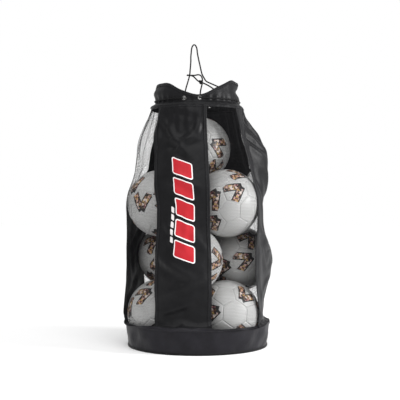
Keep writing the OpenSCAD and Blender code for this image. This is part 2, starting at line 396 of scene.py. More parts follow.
def plain_weave(tree, point, scale):
    """Two sets of fine waves that cross at right angles, multiplied."""
    waves = [add_node(tree, "ShaderNodeTexWave", [("Vector", point), ("Scale", scale)],
                      bands_direction=way) for way in ("X", "Y")]
    weave = add_node(tree, "ShaderNodeMath", [(0, waves[0].outputs["Fac"]),
                                               (1, waves[1].outputs["Fac"])], operation="MULTIPLY")
    return weave.outputs[0]


# ---------------------------------------------------------------- drawcord

def braided_cord():
    """Polyester drawcord, braided from 16 strands: crossing ribs, about 2 mm apart, and a soft sheen."""
    material, tree, shader = new_material("braided_polyester_cord", Roughness=0.6)
    shader.inputs["Specular IOR Level"].default_value = 0.15
    uv = add_node(tree, "ShaderNodeUVMap", uv_map="cord")
    ribs = []
    for lean in (0.66, -0.66):
        side = add_node(tree, "ShaderNodeMapping", [("Vector", uv.outputs[0]), ("Rotation", (0, 0, lean)),
                                                     ("Scale", (160, 160, 1))])
        ribs.append(add_node(tree, "ShaderNodeTexWave", [("Vector", side.outputs[0]), ("Scale", 1.0)]))
    braid = add_node(tree, "ShaderNodeMath", [(0, ribs[0].outputs["Fac"]), (1, ribs[1].outputs["Fac"])],
                     operation="MAXIMUM")
    colour = add_node(tree, "ShaderNodeMix", [(0, braid.outputs[0]), (6, linear("#060607")),
                                               (7, linear("#141415"))], data_type="RGBA")
    tree.links.new(colour.outputs[2], shader.inputs["Base Color"])
    bump = add_node(tree, "ShaderNodeBump", [("Height", braid.outputs[0]), ("Strength", 0.7),
                                              ("Distance", 0.0005)])
    tree.links.new(bump.outputs[0], shader.inputs["Normal"])
    return material


def smooth_route(points, steps):
    """Points on a smooth curve through the given ones."""
    p = np.array(points, float)
    p = np.vstack([2 * p[0] - p[1], p, 2 * p[-1] - p[-2]])
    out = []
    for i in range(1, len(p) - 2):
        for k in range(steps):
            t = k / steps
            a, b, c, d = p[i - 1], p[i], p[i + 1], p[i + 2]
            out.append(0.5 * (2 * b + (c - a) * t + (2 * a - 5 * b + 4 * c - d) * t ** 2
                              + (3 * b - a - 3 * c + d) * t ** 3))
    out.append(p[-2])
    return np.array(out)


def cord_piece(name, route, material, replaced=(), closed=False):
    """A length of drawcord along a route: a round curve made a mesh, with its UV map in metres."""
    points = route if closed else smooth_route(route, 4)
    curve = bpy.data.curves.new(name, "CURVE")
    curve.dimensions = "3D"
    curve.bevel_depth = CORD_D / 2
    curve.bevel_resolution = 3
    curve.use_fill_caps = True
    spline = curve.splines.new("POLY")
    spline.points.add(len(points) - 1)
    for target, point in zip(spline.points, points):
        target.co = (*point, 1)
    spline.use_cyclic_u = closed
    piece = bpy.data.objects.new(name, curve)
    bpy.context.scene.collection.objects.link(piece)
    only(piece)
    bpy.ops.object.convert(target="MESH")
    length = float(np.linalg.norm(np.diff(points, axis=0), axis=1).sum())
    uv = piece.data.uv_layers[0] if piece.data.uv_layers else piece.data.uv_layers.new(name="cord")
    uv.name = "cord"
    spots = np.zeros(len(piece.data.loops) * 2)
    uv.data.foreach_get("uv", spots)
    uv.data.foreach_set("uv", (spots.reshape(-1, 2) * (length, math.pi * CORD_D)).ravel())
    finish_piece(piece, material, BODY, "cord", replaced)
    return piece, points, round(length, 3)


cord_material = braided_cord()
for cord_name, cad_name, cord_route in (("drawcord_loop", "hang_loop", LOOP_ROUTE),
                                        ("drawcord_tie", "tie_cord", TIE_ROUTE)):
    piece, points, length = cord_piece(cord_name, np.array(cord_route) * MM, cord_material, [cad_name])
    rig.cord(piece, exit=points[0], length=length, diameter=CORD_D, far_end="object",
            stiffness="limp", lay="taut", path=points)


# ---------------------------------------------------------------- floor and light

BAG_MIDDLE = Vector((0, 0, 0.45))     # where the lights point


def make_studio():
    """A wide pale floor and an even white sky, a broad sun-like light from above on the right, and a
    softbox low on the right whose grazing light shows the folds."""
    deselect()
    bpy.ops.mesh.primitive_circle_add(vertices=96, radius=14, fill_type="NGON")
    floor = bpy.context.object
    floor.name = "studio_floor"
    material, _, shader = new_material("painted_studio_floor", Roughness=0.9)
    shader.inputs["Base Color"].default_value = linear("#f8f8f8")
    shader.inputs["Specular IOR Level"].default_value = 0.1
    floor.data.materials.append(material)
    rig.stage(floor)
    world = bpy.data.worlds.new("studio_sky")
    world.use_nodes = True
    sky = world.node_tree.nodes["Background"]
    sky.inputs["Color"].default_value = linear("#ffffff")
    seen = add_node(world.node_tree, "ShaderNodeLightPath")
    strength = add_node(world.node_tree, "ShaderNodeMapRange",
                        [(0, seen.outputs["Is Camera Ray"]), (3, 0.52), (4, 1.0)])
    world.node_tree.links.new(strength.outputs[0], sky.inputs["Strength"])
    bpy.context.scene.world = world
    for name, kind, turn, distance, height, power, size in (
            ("broad_light", "SUN", 10, 1.9, 3.0, 2.3, 1.2),
            ("key_light", "AREA", 84, 2.2, 1.0, 50, 0.6)):
        data = bpy.data.lights.new(name, kind)
        data.energy = power
        if kind == "SUN":
            data.angle = size
        else:
            data.size = size
        light = bpy.data.objects.new(name, data)
        bpy.context.scene.collection.objects.link(light)
        light.location = at(turn, distance, height)
        aim = BAG_MIDDLE - light.location
        light.rotation_euler = aim.to_track_quat("-Z", "Y").to_euler()
    bpy.context.scene.view_settings.view_transform = "Standard"


make_studio()


# ---------------------------------------------------------------- footballs

BALL_R = 0.5 * (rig.box("ball_10")[1].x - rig.box("ball_10")[0].x)
BALL_CENTRES = {name: sum(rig.box(name), Vector()) / 2 for name in BALLS}


def football_cover():
    """Hand-stitched PU cover, coated: white with a fine pebbled grain, a satin gloss and printed bars."""
    material, tree, shader = new_material("football_pu_cover", Roughness=0.42, IOR=1.5,
                                          Coat_Weight=0.15, Coat_Roughness=0.35)
    uv = add_node(tree, "ShaderNodeUVMap", uv_map="print")
    split = add_node(tree, "ShaderNodeSeparateXYZ", [(0, uv.outputs[0])])
    side = add_node(tree, "ShaderNodeMath", [(0, split.outputs[0])], operation="ABSOLUTE")
    point = add_node(tree, "ShaderNodeCombineXYZ", [(0, side.outputs[0]), (1, split.outputs[1])])
    # Two straight bars that meet in a point. Across and along are measured from their middle line.
    reach = Vector((0.021, 0.040, 0)).normalized()
    away = add_node(tree, "ShaderNodeVectorMath", [(0, point.outputs[0]), (1, (0.002, -0.021, 0))],
                    operation="SUBTRACT")
    along, across = [add_node(tree, "ShaderNodeVectorMath", [(0, away.outputs[0]), (1, way)],
                              operation="DOT_PRODUCT").outputs["Value"]
                     for way in (reach, (reach.y, -reach.x, 0))]

    def inside(long, low, wide):
        """1 inside the bar, from low to long along it and no further than wide across it."""
        half = add_node(tree, "ShaderNodeMath", [(0, along), (1, (long + low) / 2)], operation="SUBTRACT")
        ends = add_node(tree, "ShaderNodeMath", [(0, half.outputs[0])], operation="ABSOLUTE")
        in_long = add_node(tree, "ShaderNodeMath", [(0, ends.outputs[0]), (1, (long - low) / 2)],
                           operation="LESS_THAN")
        sides = add_node(tree, "ShaderNodeMath", [(0, across)], operation="ABSOLUTE")
        in_wide = add_node(tree, "ShaderNodeMath", [(0, sides.outputs[0]), (1, wide)],
                           operation="LESS_THAN")
        both = add_node(tree, "ShaderNodeMath", [(0, in_long.outputs[0]), (1, in_wide.outputs[0])],
                        operation="MULTIPLY")
        return both.outputs[0]
    bar, filling = inside(0.056, -0.006, 0.0125), inside(0.053, 0.003, 0.0088)
    # The bars are filled with small printed patches, about 7 mm across.
    patches = add_node(tree, "ShaderNodeTexVoronoi", [("Vector", uv.outputs[0]), ("Scale", 150.0)])
    pick = add_node(tree, "ShaderNodeSeparateColor", [(0, patches.outputs["Color"])])
    blocks = add_node(tree, "ShaderNodeValToRGB", [(0, pick.outputs[0])])
    blocks.color_ramp.interpolation = "CONSTANT"
    stops = [(0.0, "#1d1716"), (0.24, "#8f6f58"), (0.38, "#b99a5e"), (0.5, "#3c2422"),
             (0.62, "#c9a29b"), (0.76, "#6b3a40"), (0.88, "#d5c6bd")]
    ramp = blocks.color_ramp.elements
    for index, (position, colour) in enumerate(stops):
        stop = ramp[index] if index < len(ramp) else ramp.new(position)
        stop.position = position
        stop.color = linear(colour)
    ink = add_node(tree, "ShaderNodeMix", [(0, filling), (6, linear("#141011")),
                                            (7, blocks.outputs[0])], data_type="RGBA")
    place, _, white = mottled(tree, 18.0, "#b0b0af", "#c8c8c7", Detail=4.0)
    colour = add_node(tree, "ShaderNodeMix", [(0, bar), (6, white), (7, ink.outputs[2])],
                      data_type="RGBA")
    tree.links.new(colour.outputs[2], shader.inputs["Base Color"])
    # The pebbled grain of the cover is about 1.2 mm across.
    grain = add_node(tree, "ShaderNodeTexVoronoi", [("Vector", place), ("Scale", 1 / (1.2 * MM))])
    bump = add_node(tree, "ShaderNodeBump", [("Height", grain.outputs[0]), ("Strength", 0.25),
                                              ("Distance", 0.0003)])
    tree.links.new(bump.outputs[0], shader.inputs["Normal"])
    return material


def model_football():
    """One ball at the origin: 12 pentagons and 20 hexagons with sunk seams. Some hexagons carry a print."""
    deselect()
    bpy.ops.mesh.primitive_ico_sphere_add(subdivisions=1, radius=BALL_R)
    ball = bpy.context.object
    edit(ball, (bpy.ops.mesh.bevel, dict(offset_type="PERCENT", offset_pct=100 / 3,
                                         affect="VERTICES", segments=1)))
    mesh = ball.data
    panels = [(poly.normal.copy(), [mesh.vertices[v].co.copy() for v in poly.vertices])
              for poly in mesh.polygons]
    edit(ball, (bpy.ops.mesh.inset, dict(thickness=1.3 * MM, use_individual=True)),
         (bpy.ops.mesh.inset, dict(thickness=2.2 * MM, use_individual=True)),
         (bpy.ops.mesh.poke, {}), (bpy.ops.mesh.select_all, dict(action="SELECT")),
         (bpy.ops.mesh.subdivide, dict(number_cuts=4)))
    co = coordinates(ball)
    direction = co / np.linalg.norm(co, axis=1)[:, None]
    # Distance of every point from the nearest seam, measured on the flat panels.
    nearest = np.full(len(co), 1.0)
    for normal, corners in panels:
        for a, b in zip(corners, corners[1:] + corners[:1]):
            a, reach = np.array(a), np.array(b - a)
            along = np.clip((co - a) @ reach / (reach @ reach), 0, 1)
            nearest = np.minimum(nearest, np.linalg.norm(co - a - along[:, None] * reach, axis=1))
    radius = BALL_R - 0.1 * MM - 1.7 * MM * bell(nearest, 1.6 * MM)
    move_points(ball, direction * radius[:, None])
    uv = mesh.uv_layers.new(name="print")
    normals = np.array([p[0] for p in panels])
    hexagons = [k for k, (normal, corners) in enumerate(panels) if len(corners) == 6]
    printed = [k for count, k in enumerate(hexagons) if count % 10 not in (2, 5, 9)]
    for poly in mesh.polygons:
        k = int(np.argmax(normals @ np.array(poly.center)))
        normal, corners = panels[k]
        across = (corners[0] - normal * corners[0].dot(normal)).normalized()
        across = Matrix.Rotation(1.3 * k, 3, normal) @ across
        up = normal.cross(across)
        for loop in poly.loop_indices:
            point = mesh.vertices[mesh.loops[loop].vertex_index].co
            uv.data[loop].uv = (point.dot(across), point.dot(up)) if k in printed else (1.0, 1.0)
    return ball


def ball_place(index):
    """How a ball made at the origin is turned and moved to where it lies."""
    tilt, turn = BALL_TURNS[index]
    return (Matrix.Translation(BALL_CENTRES[BALLS[index]])
            @ Matrix.Rotation(math.radians(turn), 4, "Z") @ Matrix.Rotation(math.radians(tilt), 4, "X"))


def place_footballs(material):
    pattern = model_football()
    for index, name in enumerate(BALLS):
        ball = copy_of(pattern, "football_cover_%02d" % (index + 1), ball_place(index))
        finish_piece(ball, material, ball_body(index), "ball_cover", [name])
    bpy.data.objects.remove(pattern)


place_footballs(football_cover())


# ---------------------------------------------------------------- the skin of the bag

BAND_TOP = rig.box("base_band")[1].z
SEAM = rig.box("collar")[0].z
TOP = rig.box("collar")[1].z
THROAT_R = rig.box("collar")[1].x
TOP_LAYER = BALL_CENTRES["ball_07"].z
CLOTH = 1.0 * MM
COLUMN_TURN = 2                       # degrees between two columns of the skin's grid
FIRST_COLUMN = -PANEL_TURN / 2
COLUMNS = 360 // COLUMN_TURN
ROWS = 112
FRAMES = 26                           # steps of the cloth simulation
CAP = 14 * MM                         # how far the simulation may move the cloth
SEAM_SWING = 41
SLACK_TURN = -77                      # angle of the slack cloth high on the left
FOLD_R = 0.22                         # radius at which a fold's angle is turned to metres


def cad_wall():
    """The CAD model's own side wall as one tree for ray casts from the bag's axis."""
    points, faces = [], []
    for name in [*PANELS, *NETS]:
        mesh = frame["nodes"][name].data
        first = len(points)
        points += [v.co.copy() for v in mesh.vertices]
        faces += [[first + v for v in poly.vertices] for poly in mesh.polygons]
    return BVHTree.FromPolygons(points, faces)


def skin_start():
    """Radius of the CAD wall's outer face at each place of the grid, smoothed over its facets."""
    wall = cad_wall()
    radius = np.zeros((ROWS + 1, COLUMNS))
    for row in range(ROWS + 1):
        z = BAND_TOP + (SEAM - BAND_TOP) * min(max(row / ROWS, 0.0005), 0.9995)
        for column in range(COLUMNS):
            ahead = at(FIRST_COLUMN + column * COLUMN_TURN + 0.01, 1, 0)
            hit = wall.ray_cast(Vector((0, 0, z)), ahead)[0]
            radius[row, column] = math.hypot(hit.x, hit.y) + CLOTH
    for _ in range(3):
        level = (np.roll(radius, 1, 1) + 2 * radius + np.roll(radius, -1, 1)) / 4
        radius[1:-1] = (level[:-2] + 2 * level[1:-1] + level[2:]) / 4
        radius[[0, -1]] = level[[0, -1]]
    return radius


def grid_points(radius):
    turn = np.tile(FIRST_COLUMN + COLUMN_TURN * np.arange(COLUMNS), (ROWS + 1, 1))
    height = BAND_TOP + (SEAM - BAND_TOP) * np.arange(ROWS + 1)[:, None] / ROWS
    return around(turn, radius, height)


def clear_balls(points, room):
    """Moves points out of the footballs, to at least room from their covers."""
    for name in BALLS:
        centre = np.array(BALL_CENTRES[name])
        away = points - centre
        far = np.linalg.norm(away, axis=-1, keepdims=True)
        points = np.where(far < BALL_R + room, centre + away / far * (BALL_R + room), points)
    return points


def outward(points):
    """Normals of the sleeve's grid."""
    across = np.roll(points, -1, 1) - np.roll(points, 1, 1)
    out = np.cross(across, np.gradient(points, axis=0))
    return out / np.linalg.norm(out, axis=2, keepdims=True)


def drape(points):
    """Lets the sewn sleeve settle over the balls under its own weight, held at the band and the collar."""
    faces = [(r * COLUMNS + c, r * COLUMNS + (c + 1) % COLUMNS,
              (r + 1) * COLUMNS + (c + 1) % COLUMNS, (r + 1) * COLUMNS + c)
             for r in range(ROWS) for c in range(COLUMNS)]
    sleeve = new_piece("sleeve", points.reshape(-1, 3), faces)
    held = sleeve.vertex_groups.new(name="held")
    for r in (0, ROWS):
        held.add(range(r * COLUMNS, (r + 1) * COLUMNS), 1.0, "REPLACE")
    only(sleeve)
    bpy.ops.object.modifier_add(type="CLOTH")
    cloth = sleeve.modifiers[-1]
    cloth.settings.quality = 6
    cloth.settings.mass = 0.1
    cloth.settings.tension_stiffness = 25
    cloth.settings.compression_stiffness = 12
    cloth.settings.shear_stiffness = 5
    cloth.settings.bending_stiffness = 0.3
    cloth.settings.air_damping = 3
    cloth.settings.vertex_group_mass = "held"
    cloth.settings.shrink_min = -0.02
    cloth.collision_settings.distance_min = 1.2 * MM
    cloth.collision_settings.use_self_collision = False
    solids = []
    for name in BALLS:
        deselect()
        bpy.ops.mesh.primitive_ico_sphere_add(subdivisions=5, radius=BALL_R,
                                              location=BALL_CENTRES[name])
        solid = bpy.context.object
        bpy.ops.object.modifier_add(type="COLLISION")
        solid.collision.thickness_outer = 1.0 * MM
        solids.append(solid)
    scene = bpy.context.scene
    for number in range(1, FRAMES + 1):
        scene.frame_set(number)
    shape = sleeve.evaluated_get(bpy.context.evaluated_depsgraph_get()).to_mesh()
    settled = np.zeros(len(shape.vertices) * 3)
    shape.vertices.foreach_get("co", settled)
    scene.frame_set(1)
    for thing in [sleeve, *solids]:
        bpy.data.objects.remove(thing)
    return settled.reshape(points.shape)


# Long soft folds in the nylon: angle and height of each end, half width in mm, and lift in mm.
FOLDS = [
    (-36, 0.745, 10, 0.60, 13, 8.0), (22, 0.735, -16, 0.60, 13, 7.0), (-30, 0.655, 20, 0.672, 10, 6.0),
    (-26, 0.775, 18, 0.748, 10, 4.5), (-14, 0.57, 20, 0.50, 13, 5.0), (-22, 0.31, 16, 0.22, 13, 6.0),
    (-20, 0.17, 20, 0.245, 11, 6.0), (-21, 0.12, 12, 0.165, 9, 5.0), (-18, 0.42, 4, 0.33, 12, 4.0),
    (6, 0.40, 20, 0.31, 11, 4.0),
    (84, 0.77, 104, 0.66, 10, 9.0), (72, 0.70, 100, 0.62, 12, -9.0), (90, 0.60, 108, 0.47, 12, 8.0),
    (72, 0.60, 92, 0.42, 12, -6.0), (70, 0.40, 106, 0.30, 13, 7.0), (76, 0.16, 108, 0.24, 12, 6.0),
    (-112, 0.42, -76, 0.30, 13, 5.5), (-106, 0.24, -70, 0.14, 12, 5.0), (-104, 0.60, -80, 0.50, 12, 5.0),
    (150, 0.72, 196, 0.60, 15, 7.0), (196, 0.70, 160, 0.55, 14, 6.0), (160, 0.40, 198, 0.28, 13, 5.5),
    (164, 0.16, 196, 0.22, 12, 5.0),
]


def fold_lift(turn, z):
    """The lift at arrays of angles and heights: the folds, and the slack net high on the left."""
    lift = 15 * MM * bell(apart(turn, SLACK_TURN), 32) * bell(z - 0.665, 0.065)
    for turn_1, z_1, turn_2, z_2, half, high in FOLDS:
        across = apart(turn, turn_1) * math.radians(1) * FOLD_R
        up = z - z_1
        end = np.array((apart(turn_2, turn_1) * math.radians(1) * FOLD_R, z_2 - z_1))
        long = np.hypot(*end)
        along = (across * end[0] + up * end[1]) / long ** 2
        off = (across * end[1] - up * end[0]) / long
        fade = np.clip(3.5 * along, 0, 1) * np.clip(3.5 * (1 - along), 0, 1)
        ridge = bell(off, half * MM) - 0.55 * bell(off - 1.7 * half * MM, half * MM)
        lift = lift + high * MM * fade * ridge
    return lift


def creases(points):
    """How far the cloth's own soft creases and its gathers below the collar lift each point."""
    turn = np.radians(FIRST_COLUMN + COLUMN_TURN * np.arange(COLUMNS))
    lift = fold_lift(np.degrees(turn)[None, :], points[:, :1, 2])
    for r in range(ROWS + 1):
        z = points[r, 0, 2]
        near_collar = max(0.0, min(1.0, (z - 0.64) / (SEAM - 0.64)))
        near_ends = min(1.0, 12 * r / ROWS, 12 * (1 - r / ROWS) + 0.2)
        for c in range(COLUMNS):
            spot = Vector((math.sin(turn[c]) * 0.23, math.cos(turn[c]) * 0.23, z))
            folds = noise.noise(spot * 9) * 2.2 + noise.noise(spot * 24 + Vector((5, 1, 2))) * 1.3
            phase = 3 * noise.noise(spot * 5 + Vector((0, 7, 0)))
            gathers = math.cos(31 * turn[c] + phase) * 2.4 * near_collar ** 1.5
            lift[r, c] = near_ends * (lift[r, c] + folds * MM + gathers * MM)
    return lift


def settle_skin():
    start = grid_points(skin_start())
    settled = start
    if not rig.quick():
        moved = drape(start) - start
        far = np.linalg.norm(moved, axis=2, keepdims=True)
        settled = start + moved * np.minimum(1, CAP / np.maximum(far, 1e-9))
    settled = settled + outward(settled) * creases(settled)[..., None]
    return clear_balls(settled, 1.6 * MM)


def swung(turn, z):
    """Where a seam or thread that starts at an angle has got to at a height, as in the CAD model."""
    seams = (-157, -113, -67, -23, 23, 113, 157, 203)
    swing = np.interp(turn, seams, (0, 0.66, 1, 0.41, 0, 0, 0.66, 0))
    rate = np.interp(turn, seams, (1, 2, 2, 1, 1, 1, 2, 1))
    return turn - SEAM_SWING * swing * np.clip(rate * (z - TOP_LAYER) / (0.75 * (SEAM - TOP_LAYER)), 0, 1)


class Skin:
    """The settled cloth, read at any turn (degrees) and rise (0 at the band, 1 at the collar)."""

    def __init__(self, points):
        self.points = points
        self.normals = outward(points)

    def place(self, turn, rise, lift=0.0):
        turn = swung(turn, BAND_TOP + (SEAM - BAND_TOP) * rise)
        column = (turn - FIRST_COLUMN) / COLUMN_TURN
        row = np.clip(rise, 0, 1) * ROWS
        r0 = np.clip(np.floor(row).astype(int), 0, ROWS - 1)
        c0 = np.floor(column).astype(int)
        fr, fc = (row - r0)[..., None], (column - c0)[..., None]
        r1, c0, c1 = r0 + 1, c0 % COLUMNS, (c0 + 1) % COLUMNS
        read = lambda grid: ((grid[r0, c0] * (1 - fc) + grid[r0, c1] * fc) * (1 - fr)
                             + (grid[r1, c0] * (1 - fc) + grid[r1, c1] * fc) * fr)
        normal = read(self.normals)
        normal /= np.linalg.norm(normal, axis=-1, keepdims=True)
        return read(self.points) + normal * (lift + 0 * turn)[..., None]


skin = Skin(settle_skin())


# ---------------------------------------------------------------- nylon

CLOTH_R = 235 * MM                    # radius at which an angle on the skin is turned to metres
CLOTH_LENGTH = SEAM - BAND_TOP


def woven_nylon(name, dark, light, thread=1.0, roughness=0.44, sheen=0.04, mark=False):
    """Coated nylon, plain weave: near black, a soft sheen, fine crossing threads and small crumples, with painted
    shade in the crumples' hollows and painted light on their crests.
    600-denier threads lie 0.5 mm apart. They are drawn 1 mm apart so that they show."""
    material, tree, shader = new_material(name, Roughness=roughness, Sheen_Weight=sheen,
                                          Sheen_Roughness=0.45)
    shader.inputs["Specular IOR Level"].default_value = 0.14
    uv = add_node(tree, "ShaderNodeUVMap", uv_map="cloth")
    weave = plain_weave(tree, uv.outputs[0], 0.05 / (thread * MM))
    crumple = add_node(tree, "ShaderNodeTexNoise", [("Vector", uv.outputs[0]), ("Scale", 26.0),
                                                     ("Detail", 5.0), ("Roughness", 0.55)])
    # Painted shade: the colour follows the crumples' height, darker in their hollows and lighter on their crests.
    shade = add_node(tree, "ShaderNodeMapRange", [(0, crumple.outputs[0]), (1, 0.3), (2, 0.75)])
    colour = add_node(tree, "ShaderNodeMix", [(0, shade.outputs[0]), (6, linear(dark)),
                                               (7, linear(light))], data_type="RGBA")
    out = colour.outputs[2]
    if mark:
        out = printed_bars(tree, uv.outputs[0], out)
    tree.links.new(out, shader.inputs["Base Color"])
    fine = add_node(tree, "ShaderNodeBump", [("Height", weave), ("Strength", 0.4),
                                              ("Distance", 0.00015)])
    coarse = add_node(tree, "ShaderNodeBump", [("Height", crumple.outputs[0]), ("Strength", 0.5),
                                                ("Distance", 0.005), ("Normal", fine.outputs[0])])
    tree.links.new(coarse.outputs[0], shader.inputs["Normal"])
    return material


def rounded_bars(tree, point, centre, half, corner, slant, pitch, grow):
    """1 inside a column of slanted bars with round corners, else 0. Sizes are in metres."""
    shifted = add_node(tree, "ShaderNodeVectorMath", [(0, point), (1, (*centre, 0))],
                       operation="SUBTRACT")
    split = add_node(tree, "ShaderNodeSeparateXYZ", [(0, shifted.outputs[0])])
    tall = add_node(tree, "ShaderNodeMath", [(0, split.outputs[0]), (1, slant), (2, split.outputs[1])],
                    operation="MULTIPLY_ADD")
    step = add_node(tree, "ShaderNodeMath", [(0, tall.outputs[0]), (1, pitch)], operation="PINGPONG")
    side = add_node(tree, "ShaderNodeMath", [(0, split.outputs[0])], operation="ABSOLUTE")
    flat = add_node(tree, "ShaderNodeCombineXYZ", [(0, side.outputs[0]), (1, step.outputs[0])])
    over = add_node(tree, "ShaderNodeVectorMath",
                    [(0, flat.outputs[0]), (1, (half[0] - corner, half[1] - corner, 0))],
                    operation="SUBTRACT")
    clipped = add_node(tree, "ShaderNodeVectorMath", [(0, over.outputs[0]), (1, (0, 0, 0))],
                       operation="MAXIMUM")
    far = add_node(tree, "ShaderNodeVectorMath", [(0, clipped.outputs[0])], operation="LENGTH")
    inside = add_node(tree, "ShaderNodeMath", [(0, far.outputs["Value"]), (1, corner + grow)],
                      operation="LESS_THAN")
    reach = add_node(tree, "ShaderNodeMath", [(0, tall.outputs[0])], operation="ABSOLUTE")
    within = add_node(tree, "ShaderNodeMath", [(0, reach.outputs[0]), (1, 5 * pitch)],
                      operation="LESS_THAN")
    both = add_node(tree, "ShaderNodeMath", [(0, inside.outputs[0]), (1, within.outputs[0])],
                    operation="MULTIPLY")
    return both.outputs[0]


def printed_bars(tree, point, cloth_colour):
    """The screen print: a column of slanted red bars with white edges, and small white bars beside it."""
    middle = (math.radians(PANEL_TURN / 2 + 2.3) * CLOTH_R, 0.455 - BAND_TOP)
    half, corner, slant, pitch, white_edge = (0.034, 0.026), 0.008, 0.35, 0.031, 0.0035
    edge = rounded_bars(tree, point, middle, half, corner, slant, pitch, 0.0)
    red = rounded_bars(tree, point, middle, half, corner, slant, pitch, -white_edge)
    small = rounded_bars(tree, point, (middle[0] - 0.045, 0.41 - BAND_TOP), (0.0055, 0.0085), 0.003,
                         slant, 0.011, 0.0)
    colour = cloth_colour
    for share, ink in ((edge, "#e9e4e4"), (red, "#b0232c"), (small, "#dcd8d8")):
        mixed = add_node(tree, "ShaderNodeMix", [(0, share), (6, colour), (7, linear(ink))],
                         data_type="RGBA")
        colour = mixed.outputs[2]
    return colour


def cloth_piece(name, columns, rows, place, width, length):
    """A grid of cloth put in place by place(across, up), both from 0 to 1, with its UV map in metres."""
    deselect()
    bpy.ops.mesh.primitive_grid_add(x_subdivisions=columns, y_subdivisions=rows, size=1)
    piece = bpy.context.object
    piece.name = name
    spot = coordinates(piece)[:, :2] + 0.5
    uv = piece.data.uv_layers[0]
    uv.name = "cloth"
    loops = np.zeros(len(piece.data.loops), int)
    piece.data.loops.foreach_get("vertex_index", loops)
    uv.data.foreach_set("uv", (spot * (width, length))[loops].ravel())
    move_points(piece, place(spot[:, 0], spot[:, 1]))
    return piece


def strip_of_skin(name, low, high, columns, rows, bottom=0.0, top=1.0, lift=0.0, thick=0.7):
    """A piece of cloth that lies on the skin, from one angle to another."""
    def place(across, up):
        return skin.place(low + (high - low) * across, bottom + (top - bottom) * up, lift)
    piece = cloth_piece(name, columns, rows, place, math.radians(high - low) * CLOTH_R,
                        (top - bottom) * CLOTH_LENGTH)
    apply_modifier(piece, "SUBSURF", levels=1, render_levels=1)
    apply_modifier(piece, "SOLIDIFY", thickness=thick * MM, offset=0.0)
    return piece


def make_panels(materials):
    half = PANEL_TURN / 2
    for name, middle in PANELS.items():
        panel = strip_of_skin(name + "_cloth", middle - half, middle + half, 24, 112)
        finish_piece(panel, materials[name], BODY, "nylon", [name])


def make_seam_tapes(material):
    """The panels' turned edges: a second strip of cloth down each side, over the net's edge."""
    for name, middle in PANELS.items():
        for side, label in ((-1, "left"), (1, "right")):
            edge = middle + side * PANEL_TURN / 2
            low, high = sorted((edge - side * 2.4, edge + side * 0.6))
            tape = strip_of_skin("%s_%s_edge" % (name, label), low, high, 3, 112,
                                 lift=1.0 * MM, thick=0.8)
            finish_piece(tape, material, BODY, "nylon")


# ---------------------------------------------------------------- net

CELL = 5.0 * MM                       # width of one opening of the net


def knitted_net():
    """Warp-knitted polyester net: black round yarns with a slight gloss and a fine twist."""
    material, tree, shader = new_material("knitted_polyester_net", Roughness=0.6)
    shader.inputs["Specular IOR Level"].default_value = 0.15
    _, twist, colour = mottled(tree, 1 / (0.6 * MM), "#0b0b0d", "#1a1a1d", Detail=1.0)
    tree.links.new(colour, shader.inputs["Base Color"])
    bump = add_node(tree, "ShaderNodeBump", [("Height", twist), ("Strength", 0.4),
                                              ("Distance", 0.0001)])
    tree.links.new(bump.outputs[0], shader.inputs["Normal"])
    return material


def net_pattern(across, up):
    """A flat honeycomb: one hexagon and its neighbour, repeated by two arrays and merged."""
    deselect()
    bpy.ops.mesh.primitive_circle_add(vertices=6, radius=CELL / math.sqrt(3), fill_type="NGON")
    cell = bpy.context.object
    cell.name = "net_pattern"
    edit(cell, (bpy.ops.mesh.duplicate_move,
                dict(TRANSFORM_OT_translate={"value": (CELL / 2, CELL * math.sqrt(0.75), 0)})))
    for count, offset in ((across, (CELL, 0, 0)), (up, (0, CELL * math.sqrt(3), 0))):
        apply_modifier(cell, "ARRAY", count=count, use_relative_offset=False,
                       use_constant_offset=True, constant_offset_displace=offset)
    edit(cell, (bpy.ops.mesh.remove_doubles, dict(threshold=0.3 * MM)))
    return cell


def make_nets(material):
    """Each window is a net of real strands, laid on the skin."""
    half = (90 - PANEL_TURN) / 2
    across = round(math.radians(2 * half) * CLOTH_R / CELL)
    up = round(CLOTH_LENGTH / (CELL * math.sqrt(3)))
    pattern = net_pattern(across, up)
    spot = coordinates(pattern)[:, :2]
    spot = (spot - spot.min(0)) / (spot.max(0) - spot.min(0))
    for name, middle in NETS.items():
        net = copy_of(pattern, name + "_mesh")
        move_points(net, skin.place(middle - half + 2 * half * spot[:, 0], spot[:, 1]))
        apply_modifier(net, "WIREFRAME", thickness=0.7 * MM, use_even_offset=False, offset=0)
        finish_piece(net, material, BODY, "net", [name])
    bpy.data.objects.remove(pattern)


# ---------------------------------------------------------------- collar

CORD_LINE_R = 138 * MM
EYELET_Z = SEAM + 20 * MM
EAR_TURN = 13


def collar_radius(angle, z):
    """Radius of the collar's outer face: drawn in by the cord, puckered between the eyelets."""
    radius = np.interp(z, (SEAM, SEAM + 0.0118, SEAM + 0.0282, TOP),
                       (THROAT_R, CORD_LINE_R, CORD_LINE_R, 0.130))
    free = 1.0
    for eyelet in EYELETS:
        free = free * (1 - bell(apart(angle, eyelet), 6.0))
    turn = np.radians(angle)
    puckers = 1 - np.cos(34 * turn + 2 * np.sin(3 * turn))
    waves = np.sin(5 * turn + 0.6) + 0.6 * np.sin(11 * turn + 2.0)
    above = np.clip((z - EYELET_Z - 0.008) / 0.04, 0, 1)
    pinch = bell(apart(angle, 104), 24) * bell(z - 0.828, 0.011)
    left = bell(apart(angle, SLACK_TURN), 42)
    slack = left * (7 * MM * bell(z - SEAM - 0.004, 0.007) + 8 * MM * bell(z - SEAM - 0.046, 0.014))
    return (radius - 1.5 * MM * puckers * free * bell(z - EYELET_Z, 0.016)
            + 1.8 * MM * waves * above - 11 * MM * pinch + slack)


